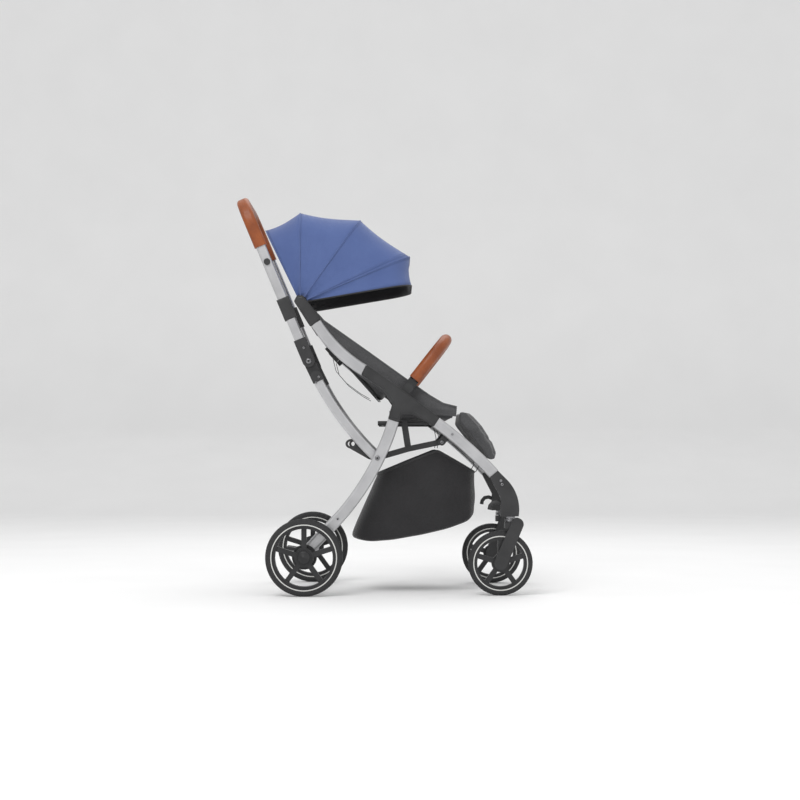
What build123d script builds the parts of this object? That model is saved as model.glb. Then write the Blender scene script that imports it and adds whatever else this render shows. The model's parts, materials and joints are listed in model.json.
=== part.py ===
"""Compact folding baby stroller, modelled as separate pieces in one frame.

Frame: +X forward, +Y to the stroller's left, +Z up, origin on the floor under
the middle of the stroller. Pieces of the right side (negative Y) are drawn
first and mirrored to the left. A side outline is drawn in the XZ plane.
"""
import math
import os

from build123d import *

os.makedirs("parts", exist_ok=True)

# ---------------------------------------------------------------- wheels
REAR_WHEEL_R = 99.0
FRONT_WHEEL_R = 83.0
REAR_AXLE = (-205.5, REAR_WHEEL_R)
FRONT_AXLE = (298.0, FRONT_WHEEL_R)
REAR_WHEEL_Y = 238.0
FRONT_WHEEL_Y = 205.0
REAR_TYRE_WIDTH = 28.0
FRONT_TYRE_WIDTH = 24.0
AXLE_R = 5.0
BORE_GAP = 0.05
SPOKES = 5
CENTRE_SHIFT = 3.95

# ---------------------------------------------------------------- side layers (distance from the middle)
FRAME_IN, FRAME_OUT = 197.0, 213.0
FRAME_Y = (FRAME_IN + FRAME_OUT) / 2
PUSH_Y = 185.0
PUSH_DEPTH = 16.0
TUBE_WIDTH = 30.0
TUBE_DEPTH = FRAME_OUT - FRAME_IN
TUBE_WALL = 1.6
PUSH_WIDTH = 26.0
HUB_CHEEK = 3.0
LAYER_CATCH = (171.0, 176.4)
LAYER_BRACE_REAR = (166.0, 170.0)
LAYER_BRACE_FRONT = (161.5, 165.5)
LAYER_HANGER = (156.2, 160.4)

# ---------------------------------------------------------------- frame joints in side view (x, z)
SEAT_TOP = (-219.0, 757.0)
HANDLE_PIVOT = (-196.6, 603.8)
ARM_FOOT = (-18.3, 353.0)
LEG_PIVOT = (28.7, 472.5)
BRACE_PIVOT = (148.0, 394.0)
BRACE_MIDDLE = (62.0, 376.0)
SWIVEL_X = 323.0
ELBOW_BOTTOM = 203.0
BUMPER_PIVOT = (59.0, 533.0)

# ---------------------------------------------------------------- handle
HANDLE_LEAN = 22.75
HANDLE_TOP = 454.0
HANDLE_BEND = 70.0
GRIP_START = 323.0
KNUCKLE_LENGTH = 61.5
KNUCKLE_R = 16.0

# ---------------------------------------------------------------- canopy: angle above forward, radius from SEAT_TOP
CANOPY_REAR = (116.3, 220.0)
BOW_REAR = (91.0, 237.0)
BOW_MID = (55.0, 261.0)
BOW_FRONT = (23.7, 302.0)
VISOR = (9.4, 285.0)
CANOPY_HALF = 164.0
CANOPY_CLOTH = 2.0
CANOPY_STEP = 4.5
CANOPY_CORNER = 62.0
CANOPY_FOOT = 22.0
BOW_THICK = 1.8
BOW_WIDTH = 9.0
BOW_GAP = 0.5


def save(piece, name):
    """Move a finished piece so the whole stroller is centred, label it and write its STEP file."""
    placed = piece.part.moved(Location((CENTRE_SHIFT, 0, 0)))
    placed.label = name
    export_step(placed, f"parts/{name}.step")


def save_pair(right, name):
    """Write a right-hand piece and its mirror image as two nodes."""
    save(right, f"{name}_right")
    with BuildPart() as left:
        mirror(right.part, about=Plane.XZ)
    save(left, f"{name}_left")


def save_both(right, name):
    """Write a right-hand piece and its mirror image as one node of two solids."""
    with BuildPart() as both:
        add(right.part)
        mirror(right.part, about=Plane.XZ)
    save(both, name)


def polar(centre, angle, radius):
    """Point at an angle above forward and a distance from a centre, in side view."""
    return (
        centre[0] + radius * math.cos(math.radians(angle)),
        centre[1] + radius * math.sin(math.radians(angle)),
    )


def side_plate(points, inner, outer, rounding=0.0):
    """Right-hand plate with a side outline, between two distances from the middle."""
    with BuildPart() as plate:
        with BuildSketch(Plane.XZ.offset(inner)):
            with BuildLine():
                Polyline(*points, close=True)
            make_face()
            if rounding:
                fillet(vertices(), rounding)
        extrude(amount=outer - inner)
    return plate.part


def side_disc(centre, radius, inner, outer):
    """Right-hand disc or pin across the stroller."""
    with BuildPart() as disc:
        with BuildSketch(Plane.XZ.offset(inner)):
            with Locations(centre):
                Circle(radius)
        extrude(amount=outer - inner)
    return disc.part


def side_bar(start, end, width, inner, outer):
    """Right-hand flat bar with rounded ends between two points in side view."""
    run = (end[0] - start[0], end[1] - start[1])
    length = math.hypot(*run)
    middle = ((start[0] + end[0]) / 2, (start[1] + end[1]) / 2)
    with BuildPart() as bar:
        with BuildSketch(Plane.XZ.offset(inner)):
            with Locations(Location(middle, math.degrees(math.atan2(run[1], run[0])))):
                SlotCenterToCenter(length, width)
        extrude(amount=outer - inner)
    return bar.part


def curved_tube(points, y, width, depth, wall, tail=0.0):
    """Open-ended flat tube along an arc through three side-view points, with an optional straight tail."""
    with BuildLine() as route:
        arc = ThreePointArc(*[(x, -y, z) for x, z in points])
        if tail:
            Line(arc @ 1, arc @ 1 + arc % 1 * tail)
    path = route.wire()
    start = Plane(origin=path @ 0, x_dir=(0, 1, 0), z_dir=path % 0)
    with BuildPart() as tube:
        with BuildSketch(start):
            RectangleRounded(depth, width, depth * 0.42)
            RectangleRounded(depth - 2 * wall, width - 2 * wall, depth * 0.42 - wall, mode=Mode.SUBTRACT)
        sweep(path=path)
    return tube.part


# ================================================================ main frame
# Moulded hub plate: three sockets in a Y, with a slot where the rear leg turns.
HUB_OUTLINE = [
    (-47.6, 593.3), (16.7, 549.6), (119.5, 473.8), (141.3, 455.8), (125.9, 432.7), (106.6, 446.8),
    (70.6, 465.0), (44.0, 464.0), (37.2, 444.3), (8.9, 453.3), (20.0, 494.0), (-3.9, 529.1), (-60.5, 567.0),
]
SLOT_R = 19.5
SLOT_WIDTH = 66.0
SLOT_FORWARD = 2.6
PIVOT_PIN_R = 4.0
SEAT_TUBE = [(-177.0, 701.0), (-126.0, 637.0), (-52.0, 578.5)]
FRONT_LEG = [(133.0, 444.5), (211.0, 381.5), (281.4, 311.9)]

with BuildPart() as hub_plate:
    add(side_plate(HUB_OUTLINE, FRAME_IN - HUB_CHEEK, FRAME_OUT + HUB_CHEEK, 4.0))
    chamfer(hub_plate.faces().sort_by(Axis.Y)[0].edges(), 1.5)
    with BuildSketch(Plane.XZ.offset(FRAME_IN - 0.3)):
        with Locations(LEG_PIVOT):
            Circle(SLOT_R)
            with Locations((SLOT_FORWARD, -SLOT_R * 1.5)):
                Rectangle(SLOT_WIDTH, 3 * SLOT_R)
    extrude(amount=TUBE_DEPTH + 0.6, mode=Mode.SUBTRACT)
    with BuildSketch(Plane.XZ.offset(FRAME_IN - HUB_CHEEK)):
        with Locations(LEG_PIVOT):
            Circle(PIVOT_PIN_R)
    extrude(amount=TUBE_DEPTH + 2 * HUB_CHEEK, mode=Mode.SUBTRACT)
save_pair(hub_plate, "hub_plate")

# Knuckle on top of the seat tube; its screw is the hinge line of canopy and handle collar.
JOINT_OUTLINE = [(-234.0, 757.0), (-226.0, 772.0), (-211.0, 772.0), (-162.5, 711.5), (-191.0, 690.0)]
with BuildPart() as seat_tube_joint:
    add(side_plate(JOINT_OUTLINE, FRAME_IN - 1, FRAME_OUT + 1, 6.0))
    chamfer(seat_tube_joint.faces().sort_by(Axis.Y)[0].edges(), 1.5)
save_both(seat_tube_joint, "seat_tube_joints")

with BuildPart() as seat_tube:
    add(curved_tube(SEAT_TUBE, FRAME_Y, TUBE_WIDTH, TUBE_DEPTH, TUBE_WALL))
    add(hub_plate.part, mode=Mode.SUBTRACT)
    add(seat_tube_joint.part, mode=Mode.SUBTRACT)
save_both(seat_tube, "seat_tubes")

# Elbow housing: carries the leg and turns down to the swivel of the front wheel.
STEM_R = 8.0
with BuildPart() as front_elbow:
    with BuildSketch(Plane.XZ.offset(FRONT_WHEEL_Y - 12)):
        with BuildLine():
            Polyline((271.1, 304.2), (291.6, 320.5), (312.0, 300.0))
            ThreePointArc((312.0, 300.0), (338.0, 262.0), (344.5, ELBOW_BOTTOM))
            Polyline((344.5, ELBOW_BOTTOM), (298.0, ELBOW_BOTTOM), (299.0, 250.0), (271.1, 304.2))
        make_face()
    extrude(amount=24)
    with BuildSketch(Plane.XY.offset(ELBOW_BOTTOM)):
        with Locations((SWIVEL_X, -FRONT_WHEEL_Y)):
            Circle(STEM_R + BORE_GAP)
    extrude(amount=32, mode=Mode.SUBTRACT)
save_pair(front_elbow, "front_elbow")

with BuildPart() as front_leg:
    add(curved_tube(FRONT_LEG, FRAME_Y, TUBE_WIDTH, TUBE_DEPTH, TUBE_WALL))
    add(hub_plate.part, mode=Mode.SUBTRACT)
    add(front_elbow.part, mode=Mode.SUBTRACT)
save_pair(front_leg, "front_leg")

# Seat frame: two rails, cross tubes between the hub plates and between the front legs.
RAIL_Z = 443.0
RAIL_Y = 150.0
RAIL_R = 6.0
LEG_CROSS = (226.0, 366.0)
RAIL_BACK, RAIL_FRONT = -18.0, 117.0
with BuildPart() as seat_frame:
    for rail_y in (-RAIL_Y, RAIL_Y):
        with BuildSketch(Plane.YZ.offset(RAIL_BACK)):
            with Locations((rail_y, RAIL_Z)):
                Circle(RAIL_R)
        extrude(amount=RAIL_FRONT - RAIL_BACK)
    for centre, half in (
        ((-6.0, RAIL_Z), RAIL_Y),
        ((112.0, RAIL_Z + 2), FRAME_IN - HUB_CHEEK - 0.1),
        (LEG_CROSS, FRAME_IN - 0.1),
    ):
        with BuildSketch(Plane.XZ.offset(-half)):
            with Locations(centre):
                Circle(RAIL_R - 1)
        extrude(amount=2 * half)
save(seat_frame, "seat_frame")

# ================================================================ rear frame
REAR_LEG = [(31.4, 479.6), (-61.5, 271.0), (-134.5, 180.5)]
REAR_LEG_TAIL = 95.0
with BuildPart() as rear_leg:
    add(curved_tube(REAR_LEG, FRAME_Y, TUBE_WIDTH, TUBE_DEPTH, TUBE_WALL, REAR_LEG_TAIL))
    add(side_disc(REAR_AXLE, 19.0, FRAME_IN, FRAME_OUT))
    for centre, radius in ((LEG_PIVOT, PIVOT_PIN_R + BORE_GAP), (ARM_FOOT, PIVOT_PIN_R), (REAR_AXLE, AXLE_R)):
        with BuildSketch(Plane.XZ.offset(FRAME_IN - 1)):
            with Locations(centre):
                Circle(radius)
        extrude(amount=TUBE_DEPTH + 2, mode=Mode.SUBTRACT)
save_pair(rear_leg, "rear_leg")

AXLE_TUBE_R = 11.0
AXLE_END = REAR_WHEEL_Y + REAR_TYRE_WIDTH / 2 - 5
with BuildPart() as rear_axle:
    with BuildSketch(Plane.XZ.offset(-(FRAME_IN - 0.2))):
        with Locations(REAR_AXLE):
            Circle(AXLE_TUBE_R)
    extrude(amount=2 * (FRAME_IN - 0.2))
    with BuildSketch(Plane.XZ.offset(-AXLE_END)):
        with Locations(REAR_AXLE):
            Circle(AXLE_R)
    extrude(amount=2 * AXLE_END)
save(rear_axle, "rear_axle")

with BuildPart() as brake_housing:
    add(side_disc(REAR_AXLE, 32.0, FRAME_OUT + 0.2, FRAME_OUT + 7.5))
    chamfer(brake_housing.faces().sort_by(Axis.Y)[0].edges(), 1.5)
    with BuildSketch(Plane.XZ.offset(FRAME_OUT - 1)):
        with Locations(REAR_AXLE):
            Circle(AXLE_R)
    extrude(amount=12, mode=Mode.SUBTRACT)
save_both(brake_housing, "brake_housings")

# Catch eye behind the rear leg: a tapered lever with an oval eye.
CATCH_EYE = (-86.5, 389.5)
with BuildPart() as fold_catch:
    with BuildSketch(Plane.XZ.offset(LAYER_CATCH[0])):
        with Locations(CATCH_EYE):
            Ellipse(15.0, 12.5)
        with BuildLine():
            Polyline((-80.0, 400.0), (-18.0, 361.0), (-18.0, 344.5), (-42.0, 350.0), (-94.0, 379.5), close=True)
        make_face()
        with Locations(CATCH_EYE):
            Ellipse(9.0, 7.0, mode=Mode.SUBTRACT)
        with Locations(ARM_FOOT):
            Circle(9.0)
            Circle(PIVOT_PIN_R, mode=Mode.SUBTRACT)
    extrude(amount=LAYER_CATCH[1] - LAYER_CATCH[0])
save_both(fold_catch, "fold_catch")

# ================================================================ push arms and handle
ARM_TOP = (-171.0, 551.0)
PUSH_ARM = [ARM_TOP, (-106.0, 449.0), (-24.0, 357.5)]
with BuildPart() as arm_tube:
    add(curved_tube(PUSH_ARM, PUSH_Y, PUSH_WIDTH, PUSH_DEPTH, TUBE_WALL))
    add(side_disc(ARM_FOOT, PUSH_WIDTH / 2, PUSH_Y - PUSH_DEPTH / 2, PUSH_Y + PUSH_DEPTH / 2))
    with BuildSketch(Plane.XZ.offset(PUSH_Y - 10)):
        with Locations(ARM_FOOT):
            Circle(PIVOT_PIN_R + BORE_GAP)
    extrude(amount=20, mode=Mode.SUBTRACT)

HINGE_SPLIT = PUSH_Y + 0.6
HINGE_R = 6.0
HINGE_OVERLAP = 29.0
KNUCKLE_IN, KNUCKLE_OUT = PUSH_Y - 9.5, PUSH_Y + 9.5
arm_run = math.dist(HANDLE_PIVOT, ARM_TOP)
ARM_ANGLE = math.degrees(math.atan2(ARM_TOP[1] - HANDLE_PIVOT[1], ARM_TOP[0] - HANDLE_PIVOT[0]))
HANDLE_ANGLE = 90.0 + HANDLE_LEAN


def knuckle(angle, length, disc_in, disc_out, width):
    """Hinge half: a disc around the pivot on one side of the split, then a full-depth socket."""
    end = polar(HANDLE_PIVOT, angle, length - width / 2)
    neck = polar(HANDLE_PIVOT, angle, HINGE_OVERLAP + width / 2)
    with BuildPart() as half:
        add(side_bar(HANDLE_PIVOT, end, width, disc_in, disc_out))
        add(side_bar(neck, end, width, KNUCKLE_IN, KNUCKLE_OUT))
        with BuildSketch(Plane.XZ.offset(KNUCKLE_IN)):
            tip = polar(HANDLE_PIVOT, angle, length - width / 4)
            with Locations(Location(tip, angle)):
                Rectangle(width / 2, width)
        extrude(amount=KNUCKLE_OUT - KNUCKLE_IN)
    return half.part


with BuildPart() as hinge_upper:
    add(knuckle(HANDLE_ANGLE, KNUCKLE_LENGTH, HINGE_SPLIT, KNUCKLE_OUT, 2 * KNUCKLE_R))
    with BuildSketch(Plane.XZ.offset(HINGE_SPLIT - 1)):
        with Locations(HANDLE_PIVOT):
            Circle(HINGE_R + BORE_GAP)
    extrude(amount=20, mode=Mode.SUBTRACT)
save_both(hinge_upper, "hinge_uppers")

with BuildPart() as hinge_lower:
    add(knuckle(ARM_ANGLE, arm_run, KNUCKLE_IN, HINGE_SPLIT - 0.6, 2 * KNUCKLE_R - 3))
    add(side_disc(HANDLE_PIVOT, HINGE_R, KNUCKLE_IN, KNUCKLE_OUT - 1))
save_both(hinge_lower, "hinge_lowers")

with BuildPart() as push_arm:
    add(arm_tube.part)
    add(hinge_lower.part, mode=Mode.SUBTRACT)
save_both(push_arm, "push_arms")

# Handle tube and grip lie in a plane that leans back through the hinge line.
lean = math.radians(HANDLE_LEAN)
HANDLE_DIR = (-math.sin(lean), 0.0, math.cos(lean))
HANDLE_PLANE = Plane(
    origin=(HANDLE_PIVOT[0], 0, HANDLE_PIVOT[1]),
    x_dir=(0, 1, 0),
    z_dir=Vector(0, 1, 0).cross(Vector(HANDLE_DIR)),
)


def handle_bow(start, depth, width, hole_depth=0.0, hole_width=0.0):
    """Flat tube or sleeve along the U of the handle, from a distance above the hinge line."""
    with BuildPart() as bow:
        with BuildLine(HANDLE_PLANE) as path:
            FilletPolyline(
                (-PUSH_Y, start), (-PUSH_Y, HANDLE_TOP), (PUSH_Y, HANDLE_TOP), (PUSH_Y, start), radius=HANDLE_BEND
            )
        wire = path.wire()
        with BuildSketch(Plane(origin=wire @ 0, x_dir=(0, 1, 0), z_dir=wire % 0)):
            RectangleRounded(depth, width, min(depth, width) * 0.42)
            if hole_depth:
                RectangleRounded(hole_depth, hole_width, min(hole_depth, hole_width) * 0.42, mode=Mode.SUBTRACT)
        sweep(path=wire)
    return bow.part


with BuildPart() as handle_tube:
    add(handle_bow(KNUCKLE_LENGTH, PUSH_DEPTH, PUSH_WIDTH, PUSH_DEPTH - 2 * TUBE_WALL, PUSH_WIDTH - 2 * TUBE_WALL))
    add(hinge_upper.part, mode=Mode.SUBTRACT)
    mirror(hinge_upper.part, about=Plane.XZ, mode=Mode.SUBTRACT)
save(handle_tube, "handle_tube")

with BuildPart() as handle_grip:
    add(handle_bow(GRIP_START, 24.0, 33.0, PUSH_DEPTH + 0.4, PUSH_WIDTH + 0.4))
save(handle_grip, "handle_grip")

COLLAR_START, COLLAR_LENGTH = 118.0, 59.0
with BuildPart() as handle_collar:
    with BuildSketch(HANDLE_PLANE):
        with Locations((-PUSH_Y, COLLAR_START + COLLAR_LENGTH / 2)):
            RectangleRounded(20.0, COLLAR_LENGTH, 3.0)
    extrude(amount=PUSH_WIDTH / 2 + 3.5, both=True)
    with BuildSketch(HANDLE_PLANE):
        with Locations((-PUSH_Y, COLLAR_START + COLLAR_LENGTH / 2)):
            Rectangle(PUSH_DEPTH + 0.4, COLLAR_LENGTH + 2)
    extrude(amount=PUSH_WIDTH / 2 + 0.2, both=True, mode=Mode.SUBTRACT)
save_both(handle_collar, "handle_collars")

BUTTON_AT = 279.0
BUTTON_R = 8.5
button_x, button_z = polar(HANDLE_PIVOT, HANDLE_ANGLE, BUTTON_AT)
with BuildPart() as release_button:
    add(side_disc((button_x, button_z), BUTTON_R, PUSH_Y + PUSH_DEPTH / 2 + 2.6, PUSH_Y + PUSH_DEPTH / 2 + 5.0))
    fillet(release_button.faces().sort_by(Axis.Y)[0].edges(), 1.0)
save_pair(release_button, "release_button")

# ================================================================ folding braces under the seat
BRACE_WIDTH = 14.0
with BuildPart() as brace_rear:
    add(side_bar(ARM_FOOT, BRACE_MIDDLE, BRACE_WIDTH, *LAYER_BRACE_REAR))
    add(side_disc(ARM_FOOT, PIVOT_PIN_R + BORE_GAP, *LAYER_BRACE_REAR), mode=Mode.SUBTRACT)
save_both(brace_rear, "brace_rear")

with BuildPart() as brace_front:
    add(side_bar(BRACE_MIDDLE, BRACE_PIVOT, BRACE_WIDTH, *LAYER_BRACE_FRONT))
    add(side_disc(BRACE_PIVOT, PIVOT_PIN_R + BORE_GAP, *LAYER_BRACE_FRONT), mode=Mode.SUBTRACT)
save_both(brace_front, "brace_front")

with BuildPart() as brace_hanger:
    add(side_bar((52.0, RAIL_Z), (61.0, 384.0), 15.0, *LAYER_HANGER))
save_both(brace_hanger, "brace_hangers")

BRACKET_TOP = (164.0, 414.0)
with BuildPart() as brace_bracket:
    add(side_bar(BRACE_PIVOT, BRACKET_TOP, 18.0, 189.0, FRAME_IN - 0.1))
    add(side_disc(BRACE_PIVOT, PIVOT_PIN_R, LAYER_BRACE_FRONT[0] - 1, 190.0))
save_both(brace_bracket, "brace_brackets")

# ================================================================ bumper bar
BUMPER_Y = 178.0
BUMPER_ANGLE = 52.0
BUMPER_REACH = 166.0
BUMPER_START = 30.0
BUMPER_PLANE = Plane(
    origin=(BUMPER_PIVOT[0], 0, BUMPER_PIVOT[1]),
    x_dir=(0, 1, 0),
    z_dir=Vector(0, 1, 0).cross(Vector(math.cos(math.radians(BUMPER_ANGLE)), 0, math.sin(math.radians(BUMPER_ANGLE)))),
)


def bumper_bow(start, radius, hole=0.0):
    """Round tube or sleeve along the U of the bumper bar."""
    with BuildPart() as bow:
        with BuildLine(BUMPER_PLANE) as path:
            FilletPolyline(
                (-BUMPER_Y, start), (-BUMPER_Y, BUMPER_REACH), (BUMPER_Y, BUMPER_REACH), (BUMPER_Y, start), radius=90
            )
        wire = path.wire()
        with BuildSketch(Plane(origin=wire @ 0, z_dir=wire % 0)):
            Circle(radius)
            if hole:
                Circle(hole, mode=Mode.SUBTRACT)
        sweep(path=wire)
    return bow.part


BUMPER_TUBE_R = 8.0
BUMPER_BLOCK = 16.0
with BuildPart() as bumper_bar:
    add(bumper_bow(BUMPER_START - 14, BUMPER_TUBE_R))
    for bar_y in (-BUMPER_Y, BUMPER_Y):
        with BuildSketch(BUMPER_PLANE):
            with Locations((bar_y, 14.0)):
                RectangleRounded(BUMPER_BLOCK, 32.0, 4.0)
        extrude(amount=13, both=True)
    with BuildSketch(Plane.XZ.offset(-BUMPER_Y - 20)):
        with Locations(BUMPER_PIVOT):
            Circle(PIVOT_PIN_R + BORE_GAP)
    extrude(amount=2 * BUMPER_Y + 40, mode=Mode.SUBTRACT)
save(bumper_bar, "bumper_bar")

with BuildPart() as bumper_cover:
    add(bumper_bow(BUMPER_START + 0.2, 15.5, BUMPER_TUBE_R + 0.1))
save(bumper_cover, "bumper_cover")

with BuildPart() as bumper_clip:
    add(side_bar((52.0, 521.0), (61.0, 534.0), 26.0, 187.0, FRAME_IN - HUB_CHEEK - 0.2))
    add(side_disc(BUMPER_PIVOT, PIVOT_PIN_R, 171.0, 188.0))
save_both(bumper_clip, "bumper_clips")

# ================================================================ front casters
CROWN_BOTTOM, CROWN_TOP = 172.0, 188.0
ROD_R = 6.0
FORK_GAP = FRONT_TYRE_WIDTH / 2 + 1.5
FORK_ARM = 4.5


def fork_arm(inner):
    """Trailing arm from the crown to the front axle."""
    with BuildPart() as arm:
        with BuildSketch(Plane.XZ.offset(inner)):
            with Locations(FRONT_AXLE):
                Circle(17.0)
            with Locations((SWIVEL_X + 18, CROWN_TOP - 5)):
                Circle(16.0)
            make_hull()
        extrude(amount=FORK_ARM)
    return arm.part


with BuildPart() as caster_fork:
    add(fork_arm(FRONT_WHEEL_Y + FORK_GAP))
    add(fork_arm(FRONT_WHEEL_Y - FORK_GAP - FORK_ARM))
    with BuildSketch(Plane.XY.offset(CROWN_BOTTOM)):
        with Locations((SWIVEL_X + 6, -FRONT_WHEEL_Y)):
            RectangleRounded(40.0, 2 * FORK_GAP + 2, 1.0)
    extrude(amount=CROWN_TOP - CROWN_BOTTOM)
    with BuildSketch(Plane.XY.offset(CROWN_BOTTOM - 1)):
        with Locations((SWIVEL_X, -FRONT_WHEEL_Y)):
            Circle(ROD_R + BORE_GAP)
    extrude(amount=30, mode=Mode.SUBTRACT)
    add(side_disc(FRONT_AXLE, AXLE_R, FRONT_WHEEL_Y - FORK_GAP - 1, FRONT_WHEEL_Y + FORK_GAP + 1))
save_pair(caster_fork, "caster_fork")

with BuildPart() as caster_stem:
    for bottom, top, radius in (
        (CROWN_BOTTOM + 6, ELBOW_BOTTOM, ROD_R),
        (ELBOW_BOTTOM, ELBOW_BOTTOM + 30, STEM_R),
        (ELBOW_BOTTOM - 4, ELBOW_BOTTOM - 0.5, FORK_GAP - 0.7),
    ):
        with BuildSketch(Plane.XY.offset(bottom)):
            with Locations((SWIVEL_X, -FRONT_WHEEL_Y)):
                Circle(radius)
        extrude(amount=top - bottom)
save_pair(caster_stem, "caster_stem")


# ================================================================ wheels
def tyre(centre, y, radius, inner_radius, width):
    """Foam tyre: rounded tread revolved about the axle."""
    with BuildPart() as ring:
        with BuildSketch(Plane.XZ.offset(y - width / 2)):
            with Locations(centre):
                Circle(radius)
                Circle(inner_radius, mode=Mode.SUBTRACT)
        extrude(amount=width)
        fillet(ring.edges().filter_by(GeomType.CIRCLE).group_by(SortBy.RADIUS)[-1], width * 0.36)
    return ring


def rim(centre, y, radius, hub_radius, width):
    """Moulded wheel: rim ring, five ribbed spokes and a hub with a running bore."""
    with BuildPart() as wheel:
        with BuildSketch(Plane.XZ.offset(y - width / 2)):
            with Locations(centre):
                Circle(radius)
                Circle(radius - 6, mode=Mode.SUBTRACT)
        extrude(amount=width)
        with BuildSketch(Plane.XZ.offset(y - width * 0.35)):
            with Locations(centre):
                with PolarLocations(radius / 2, SPOKES, start_angle=90):
                    Rectangle(radius - 4, 13.0)
                Circle(hub_radius + 6)
        extrude(amount=width * 0.7)
        with BuildSketch(Plane.XZ.offset(y - width / 2 - 0.8)):
            with Locations(centre):
                Circle(hub_radius)
        extrude(amount=width + 1.6)
        with BuildSketch(Plane.XZ.offset(y - width)):
            with Locations(centre):
                Circle(AXLE_R + BORE_GAP)
        extrude(amount=width * 1.5 - 2, mode=Mode.SUBTRACT)
    return wheel


save_pair(tyre(REAR_AXLE, REAR_WHEEL_Y, REAR_WHEEL_R, 80.0, REAR_TYRE_WIDTH), "rear_tyre")
save_pair(rim(REAR_AXLE, REAR_WHEEL_Y, 79.8, 19.0, REAR_TYRE_WIDTH - 4), "rear_rim")
save_pair(tyre(FRONT_AXLE, FRONT_WHEEL_Y, FRONT_WHEEL_R, 66.0, FRONT_TYRE_WIDTH), "front_tyre")
with BuildPart() as front_rim:
    add(rim(FRONT_AXLE, FRONT_WHEEL_Y, 65.8, 17.0, FRONT_TYRE_WIDTH - 4).part)
    with BuildSketch(Plane.XZ.offset(FRONT_WHEEL_Y - FRONT_TYRE_WIDTH)):
        with Locations(FRONT_AXLE):
            Circle(AXLE_R + BORE_GAP)
    extrude(amount=2 * FRONT_TYRE_WIDTH, mode=Mode.SUBTRACT)
save_pair(front_rim, "front_rim")

# ================================================================ brake pedal
with BuildPart() as brake_pedal:
    with BuildSketch(Plane.XZ.offset(-36)):
        with Locations(REAR_AXLE):
            Circle(17.0)
            with Locations((-31.0, 8.0)):
                Rectangle(54.0, 9.0, rotation=-8)
        with Locations(REAR_AXLE):
            Circle(AXLE_TUBE_R + BORE_GAP, mode=Mode.SUBTRACT)
    extrude(amount=72)
save(brake_pedal, "brake_pedal")


# ================================================================ canopy
def canopy_section(angle, radius, half, thickness):
    """Face of an arch across the stroller, in the plane through the hinge line at one angle."""
    direction = Vector(math.cos(math.radians(angle)), 0, math.sin(math.radians(angle)))
    plane = Plane(origin=(SEAT_TOP[0], 0, SEAT_TOP[1]), x_dir=(0, 1, 0), z_dir=Vector(0, 1, 0).cross(direction))
    with BuildSketch(plane) as face:
        for shrink, mode in ((0.0, Mode.ADD), (thickness, Mode.SUBTRACT)):
            edge = half - shrink
            top = radius - shrink
            corner = CANOPY_CORNER - shrink
            with BuildSketch(mode=mode):
                with BuildLine():
                    Line((-edge, CANOPY_FOOT), (-edge, top - corner))
                    TangentArc((-edge, top - corner), (-edge + corner, top), tangent=(0, 1))
                    Line((-edge + corner, top), (edge - corner, top))
                    TangentArc((edge - corner, top), (edge, top - corner), tangent=(1, 0))
                    Line((edge, top - corner), (edge, CANOPY_FOOT))
                    Line((edge, CANOPY_FOOT), (-edge, CANOPY_FOOT))
                make_face()
    return face.sketch


def canopy_panel(stations, layer):
    """Thin curved cloth shell lofted between arches; each layer lies outside the one before."""
    grow = layer * CANOPY_STEP
    with BuildPart() as panel:
        for first, last in zip(stations, stations[1:]):
            with BuildPart(mode=Mode.PRIVATE) as piece:
                for angle, radius in (first, last):
                    add(canopy_section(angle, radius + grow, CANOPY_HALF + grow, CANOPY_CLOTH))
                loft(ruled=True)
            add(piece.part)
    return panel


def cloth_radius(front, back, angle):
    """Distance from the hinge line to the taut cloth between two arches, at one angle."""
    gap = math.radians(back[0] - front[0])
    part = math.radians(angle - front[0])
    return front[1] * back[1] * math.sin(gap) / (front[1] * math.sin(part) + back[1] * math.sin(gap - part))


def canopy_bow(front, back, layer):
    """Flat sprung bow just inside the front edge of its panel."""
    grow = layer * CANOPY_STEP - CANOPY_CLOTH
    inner_front = (front[0], front[1] + grow)
    inner_back = (back[0], back[1] + grow)
    sweep_angle = math.degrees(BOW_WIDTH / front[1])
    with BuildPart() as bow:
        for turn in (0.6, 0.6 + sweep_angle):
            radius = cloth_radius(inner_front, inner_back, front[0] + turn) - BOW_GAP
            add(canopy_section(front[0] + turn, radius, CANOPY_HALF + grow - BOW_GAP, BOW_THICK))
        loft(ruled=True)
    return bow


OVERLAP = 3.0
REAR_LAYER = -0.6
REAR_EDGE = (BOW_REAR[0] - OVERLAP, BOW_REAR[1])
FRONT_BACK_EDGE = (BOW_MID[0] + OVERLAP, BOW_MID[1])
save(canopy_panel([CANOPY_REAR, REAR_EDGE], REAR_LAYER), "canopy_rear_panel")
save(canopy_bow(REAR_EDGE, CANOPY_REAR, REAR_LAYER), "canopy_bow_rear")
save(canopy_panel([BOW_REAR, BOW_MID], 1), "canopy_mid_panel")
save(canopy_bow(BOW_MID, BOW_REAR, 1), "canopy_bow_mid")
save(canopy_panel([FRONT_BACK_EDGE, BOW_FRONT, VISOR], 2), "canopy_front_panel")
save(canopy_bow(BOW_FRONT, FRONT_BACK_EDGE, 2), "canopy_bow_front")

# ================================================================ seat
SEAT_HALF = 156.0
BACK_HALF = 148.0
BACK_FOOT = (0.7, 491.2)
BACK_ANGLE = 131.8
BACK_LENGTH = 318.0
BACK_THICK = 26.0
PAD_OUTLINE = [(8.0, 452.0), (4.0, 480.0), (150.0, 486.0), (186.0, 482.0), (184.0, 456.0)]
LEG_REST_OUTLINE = [
    (190.0, 452.0), (192.0, 478.0), (212.0, 476.0), (248.3, 437.0), (278.0, 391.0), (295.0, 347.0), (275.0, 343.0),
]
WING_OUTLINE = [
    (-168.0, 716.0), (60.4, 553.6), (150.0, 493.0), (188.0, 484.0), (186.0, 460.0), (110.0, 462.0), (20.0, 500.0),
    (-60.0, 558.0), (-186.0, 690.0),
]

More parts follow.
